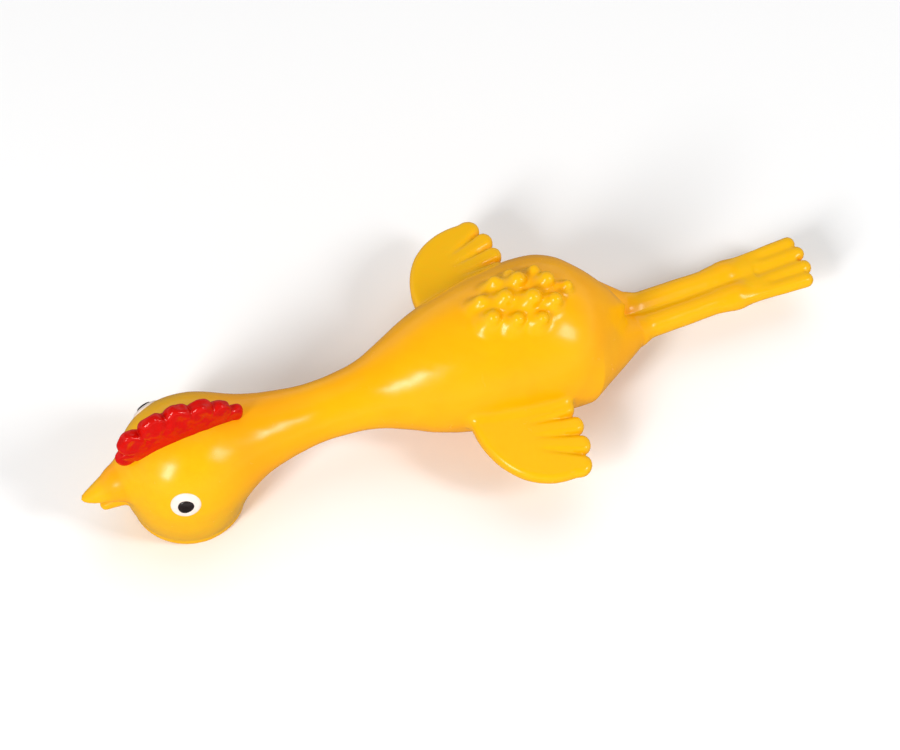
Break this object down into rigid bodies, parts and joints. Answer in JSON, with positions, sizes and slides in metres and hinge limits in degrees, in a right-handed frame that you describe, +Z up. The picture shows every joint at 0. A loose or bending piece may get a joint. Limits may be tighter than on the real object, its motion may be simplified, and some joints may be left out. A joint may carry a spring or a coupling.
{
  "type": "rubber chicken",
  "caption": "Stretchy soft rubber chicken lying on its belly, with comb, wings, joined legs and a fingertip pocket in its hollow head; catapult toy.",
  "frame": {"origin": "middle of the whole chicken seen from above, on the plane that its belly rests on", "axes": "-Y towards the beak, +Y towards the feet, +X to the chicken's left, +Z up towards the comb; the chicken lies on its belly"},
  "size_m": [0.0474, 0.116, 0.0265],
  "materials": {
    "yellow_rubber": "glossy soft rubber",
    "red_rubber": "glossy, slightly clear soft rubber",
    "eye_white": "gloss paint",
    "pupil_black": "gloss paint"
  },
  "bodies": {
    "torso": {"torso": "yellow_rubber", "left_thigh": "yellow_rubber", "right_thigh": "yellow_rubber", "left_leg_root": "yellow_rubber", "right_leg_root": "yellow_rubber", "back_feathers": "yellow_rubber", "left_wing_root": "yellow_rubber", "right_wing_root": "yellow_rubber"},
    "neck_base": {"neck_root": "yellow_rubber"},
    "neck_low": {"neck_lower": "yellow_rubber"},
    "neck_high": {"neck_upper": "yellow_rubber"},
    "head": {"head_shell": "yellow_rubber", "upper_beak": "yellow_rubber", "lower_beak": "yellow_rubber", "comb": "red_rubber", "left_eye": "eye_white", "right_eye": "eye_white", "left_pupil": "pupil_black", "right_pupil": "pupil_black"},
    "left_wing": {"left_wing": "yellow_rubber"},
    "right_wing": {"right_wing": "yellow_rubber"},
    "leg_base": {"left_leg_upper": "yellow_rubber", "right_leg_upper": "yellow_rubber"},
    "leg_mid": {"left_leg_middle": "yellow_rubber", "right_leg_middle": "yellow_rubber"},
    "leg_low": {"left_leg_lower": "yellow_rubber", "right_leg_lower": "yellow_rubber"},
    "feet": {"left_foot": "yellow_rubber", "right_foot": "yellow_rubber"}
  },
  "joints": [
    {"name": "neck_sway", "type": "hinge", "parent": "torso", "child": "neck_base", "pos_m": [0, -0.00675, 0.0116], "axis": [0, 0, 1], "range_deg": [-35, 35], "stiffness_Nm_per_rad": 0.02},
    {"name": "neck_bend", "type": "hinge", "parent": "neck_base", "child": "neck_low", "pos_m": [0, -0.0145, 0.0116], "axis": [-1, 0, 0], "range_deg": [-45, 45], "stiffness_Nm_per_rad": 0.015},
    {"name": "neck_stretch", "type": "slide", "parent": "neck_low", "child": "neck_high", "axis": [0, -1, 0], "range_m": [0, 0.028], "stiffness_N_per_m": 400},
    {"name": "head_nod", "type": "hinge", "parent": "neck_high", "child": "head", "pos_m": [0, -0.028, 0.0116], "axis": [-1, 0, 0], "range_deg": [-45, 45], "stiffness_Nm_per_rad": 0.015},
    {"name": "left_wing_flap", "type": "hinge", "parent": "torso", "child": "left_wing", "pos_m": [0.0127, 0.0058, 0.011], "axis": [0, -1, 0], "range_deg": [-55, 70], "stiffness_Nm_per_rad": 0.003},
    {"name": "right_wing_flap", "type": "hinge", "parent": "torso", "child": "right_wing", "pos_m": [-0.0127, 0.0058, 0.011], "axis": [0, 1, 0], "range_deg": [-55, 70], "stiffness_Nm_per_rad": 0.003},
    {"name": "leg_lift", "type": "hinge", "parent": "torso", "child": "leg_base", "pos_m": [0, 0.0314, 0.0069], "axis": [1, 0, 0], "range_deg": [-70, 75], "stiffness_Nm_per_rad": 0.004},
    {"name": "leg_sway", "type": "hinge", "parent": "leg_base", "child": "leg_mid", "pos_m": [0, 0.036, 0.0069], "axis": [0, 0, 1], "range_deg": [-45, 45], "stiffness_Nm_per_rad": 0.006},
    {"name": "leg_stretch", "type": "slide", "parent": "leg_mid", "child": "leg_low", "axis": [0, 1, 0], "range_m": [0, 0.04], "stiffness_N_per_m": 200},
    {"name": "foot_flex", "type": "hinge", "parent": "leg_low", "child": "feet", "pos_m": [0, 0.0495, 0.0069], "axis": [1, 0, 0], "range_deg": [-60, 60], "stiffness_Nm_per_rad": 0.002}
  ]
}
